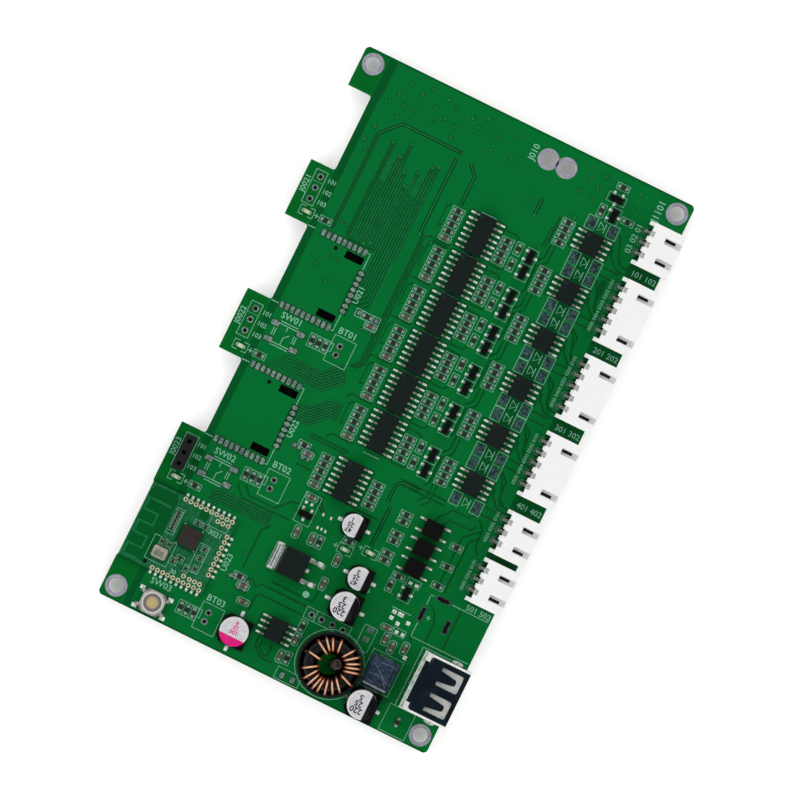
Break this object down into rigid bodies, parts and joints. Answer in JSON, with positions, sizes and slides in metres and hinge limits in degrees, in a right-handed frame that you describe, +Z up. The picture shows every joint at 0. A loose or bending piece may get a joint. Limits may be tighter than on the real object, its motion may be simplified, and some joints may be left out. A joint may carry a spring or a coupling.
{
  "type": "power bank circuit board",
  "caption": "Green control board with wire headers and a type A socket on one long edge, radio bays on the other, chips, choke, capacitors and a reset button.",
  "frame": {"origin": "centre of the four mounting holes, on the underside of the board", "axes": "+Z up from the component side, +X towards the connector edge, +Y along the board towards the earth pads"},
  "size_m": [0.0781, 0.1284, 0.0114],
  "materials": {
    "green_board": "green solder mask over copper",
    "black_package": "black moulding compound",
    "slate_package": "slate moulding compound, scuffed",
    "black_plastic": "black moulded plastic",
    "white_nylon": "white moulded nylon",
    "tan_plastic": "tan moulded plastic",
    "tinned_metal": "tin plate",
    "socket_steel": "bright plated sheet",
    "crystal_steel": "plated lid",
    "can_aluminium": "bare drawn aluminium with a black mark",
    "ferrite": "coated ferrite",
    "copper_wire": "enamelled copper",
    "dark_glue": "dark adhesive",
    "dark_ceramic": "dark glazed ceramic with tinned ends",
    "tan_ceramic": "tan ceramic with tinned ends",
    "lamp_resin": "pale resin"
  },
  "bodies": {
    "board": {"capacitor_bases": "black_plastic", "capacitor_can_1": "can_aluminium", "capacitor_can_2": "can_aluminium", "capacitor_can_3": "can_aluminium", "capacitor_can_4": "can_aluminium", "capacitor_can_5": "can_aluminium", "capacitor_leads": "tinned_metal", "chip_capacitors": "tan_ceramic", "chip_resistors": "dark_ceramic", "choke_core": "ferrite", "choke_cup": "black_plastic", "choke_glue": "dark_glue", "choke_winding": "copper_wire", "circuit_board": "green_board", "diode_straps": "tinned_metal", "driver_chip_1": "black_package", "driver_chip_2": "black_package", "driver_chip_3": "black_package", "driver_chip_4": "black_package", "driver_chip_5": "black_package", "driver_chip_6": "black_package", "driver_chip_7": "black_package", "driver_chip_leads": "tinned_metal", "header_pins": "tinned_metal", "indicator_lamps": "lamp_resin", "logic_chip_1": "black_package", "logic_chip_2": "black_package", "logic_chip_3": "black_package", "logic_chip_4": "black_package", "logic_chip_5": "black_package", "logic_chip_6": "black_package", "logic_chip_7": "black_package", "logic_chip_leads": "tinned_metal", "optocoupler_leads": "tinned_metal", "optocouplers": "black_package", "power_diode": "slate_package", "radio_board": "green_board", "radio_chip": "black_package", "radio_crystal": "crystal_steel", "radio_small_chips": "tan_ceramic", "regulator_body": "black_package", "regulator_leads": "tinned_metal", "socket_strip": "black_plastic", "socket_strip_pins": "tinned_metal", "switch_base": "black_plastic", "switch_cover": "socket_steel", "switch_dome": "socket_steel", "switch_leads": "tinned_metal", "transistor_leads": "tinned_metal", "transistors": "black_package", "usb_contacts": "tinned_metal", "usb_insulator": "white_nylon", "usb_shell": "socket_steel", "wire_header_1": "white_nylon", "wire_header_2": "white_nylon", "wire_header_3": "white_nylon", "wire_header_4": "white_nylon", "wire_header_5": "white_nylon", "wire_header_6": "white_nylon"},
    "button": {"switch_button": "tan_plastic"}
  },
  "joints": [
    {"name": "button_press", "type": "slide", "parent": "board", "child": "button", "axis": [0, 0, -1], "range_m": [0, 0.00025], "stiffness_N_per_m": 4000, "springref_m": -0.0001}
  ]
}
